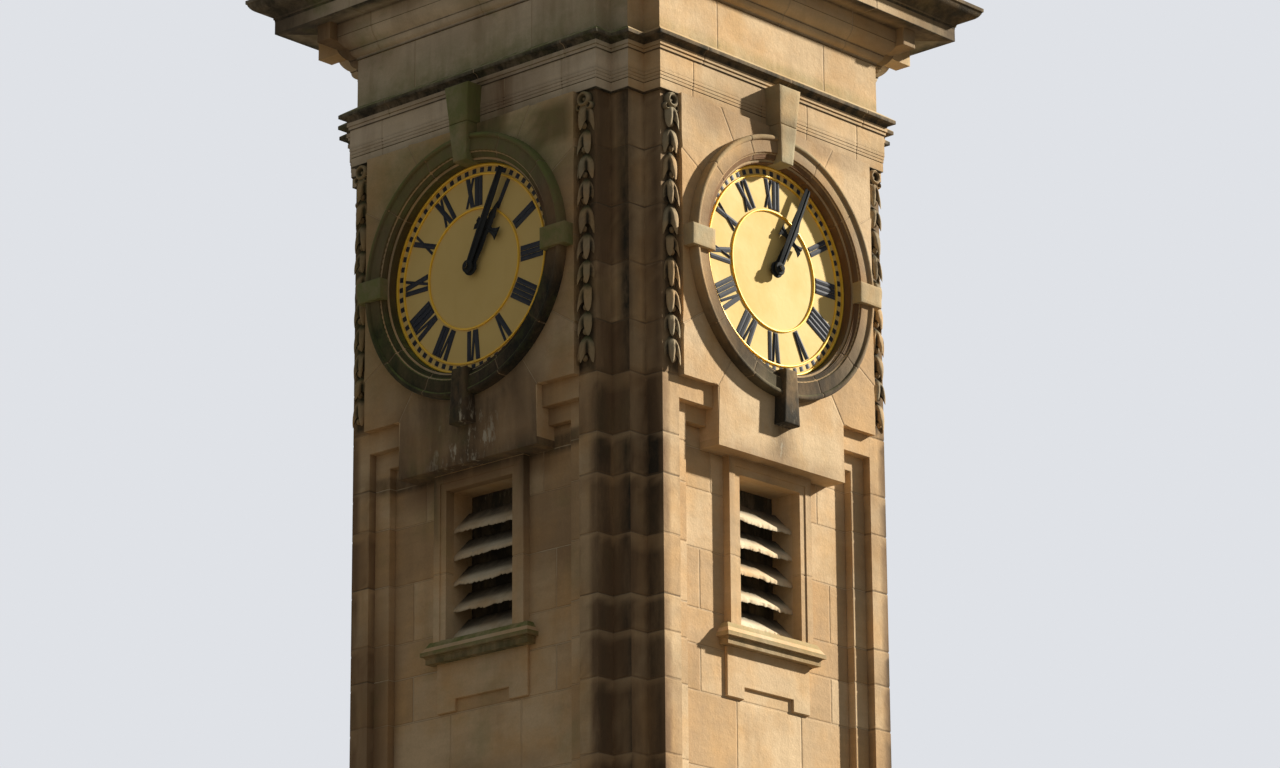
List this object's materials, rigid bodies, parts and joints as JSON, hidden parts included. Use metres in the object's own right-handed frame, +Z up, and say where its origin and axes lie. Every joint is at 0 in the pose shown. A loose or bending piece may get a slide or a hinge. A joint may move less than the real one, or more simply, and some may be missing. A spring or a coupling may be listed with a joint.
{
  "type": "clock tower",
  "caption": "Square sandstone clock tower with a dial and louvred window on each face, under a deep moulded cornice; the hands turn.",
  "frame": {"origin": "centre of the tower's foot, on the ground", "axes": "+Z up along the tower's axis, -Y out of the front dial, +X out of the right dial"},
  "size_m": [3.894, 3.894, 16.7611],
  "materials": {
    "sandstone": "matte",
    "louvre_stone": "matte",
    "roof_stone": "matte",
    "dial_metal": "matte",
    "hand_metal": "satin",
    "door_wood": "satin"
  },
  "bodies": {
    "tower": {"base_step": "sandstone", "plinth": "sandstone", "door_leaf": "door_wood", "door_surround": "sandstone", "base_course": "sandstone", "corner_piers": "sandstone", "lower_wall_front": "sandstone", "lower_wall_right": "sandstone", "lower_wall_back": "sandstone", "lower_wall_left": "sandstone", "window_walls": "sandstone", "dial_wall_front": "sandstone", "dial_wall_right": "sandstone", "dial_wall_back": "sandstone", "dial_wall_left": "sandstone", "window_architraves": "sandstone", "window_sills": "sandstone", "louvre_blades": "louvre_stone", "chamber_floor": "sandstone", "dial_front": "dial_metal", "dial_right": "dial_metal", "dial_back": "dial_metal", "dial_left": "dial_metal", "dial_surround_front": "sandstone", "dial_surround_right": "sandstone", "dial_surround_back": "sandstone", "dial_surround_left": "sandstone", "surround_keys": "sandstone", "carved_drops": "sandstone", "architrave": "sandstone", "string_course": "sandstone", "frieze": "sandstone", "bed_mould": "sandstone", "corona": "sandstone", "cyma": "sandstone", "cornice_blocks": "sandstone", "blocking_course": "sandstone", "roof": "roof_stone", "finial": "roof_stone"},
    "hour_hand_front": {"hour_hand_front": "hand_metal"},
    "minute_hand_front": {"minute_hand_front": "hand_metal"},
    "hour_hand_right": {"hour_hand_right": "hand_metal"},
    "minute_hand_right": {"minute_hand_right": "hand_metal"},
    "hour_hand_back": {"hour_hand_back": "hand_metal"},
    "minute_hand_back": {"minute_hand_back": "hand_metal"},
    "hour_hand_left": {"hour_hand_left": "hand_metal"},
    "minute_hand_left": {"minute_hand_left": "hand_metal"}
  },
  "joints": [
    {"name": "hour_hand_front_spin", "type": "hinge", "parent": "tower", "child": "hour_hand_front", "pos_m": [0, -1.54, 12], "axis": [0, 1, 0], "continuous": true},
    {"name": "minute_hand_front_spin", "type": "hinge", "parent": "tower", "child": "minute_hand_front", "pos_m": [0, -1.57, 12], "axis": [0, 1, 0], "continuous": true},
    {"name": "hour_hand_right_spin", "type": "hinge", "parent": "tower", "child": "hour_hand_right", "pos_m": [1.54, 0, 12], "axis": [-1, 0, 0], "continuous": true},
    {"name": "minute_hand_right_spin", "type": "hinge", "parent": "tower", "child": "minute_hand_right", "pos_m": [1.57, 0, 12], "axis": [-1, 0, 0], "continuous": true},
    {"name": "hour_hand_back_spin", "type": "hinge", "parent": "tower", "child": "hour_hand_back", "pos_m": [0, 1.54, 12], "axis": [0, -1, 0], "continuous": true},
    {"name": "minute_hand_back_spin", "type": "hinge", "parent": "tower", "child": "minute_hand_back", "pos_m": [0, 1.57, 12], "axis": [0, -1, 0], "continuous": true},
    {"name": "hour_hand_left_spin", "type": "hinge", "parent": "tower", "child": "hour_hand_left", "pos_m": [-1.54, 0, 12], "axis": [1, 0, 0], "continuous": true},
    {"name": "minute_hand_left_spin", "type": "hinge", "parent": "tower", "child": "minute_hand_left", "pos_m": [-1.57, 0, 12], "axis": [1, 0, 0], "continuous": true}
  ],
  "couplings": [
    {"joint": "hour_hand_front_spin", "follows": "minute_hand_front_spin", "ratio": 0.083333},
    {"joint": "hour_hand_right_spin", "follows": "minute_hand_front_spin", "ratio": 0.083333},
    {"joint": "minute_hand_right_spin", "follows": "minute_hand_front_spin", "ratio": 1},
    {"joint": "hour_hand_back_spin", "follows": "minute_hand_front_spin", "ratio": 0.083333},
    {"joint": "minute_hand_back_spin", "follows": "minute_hand_front_spin", "ratio": 1},
    {"joint": "hour_hand_left_spin", "follows": "minute_hand_front_spin", "ratio": 0.083333},
    {"joint": "minute_hand_left_spin", "follows": "minute_hand_front_spin", "ratio": 1}
  ]
}
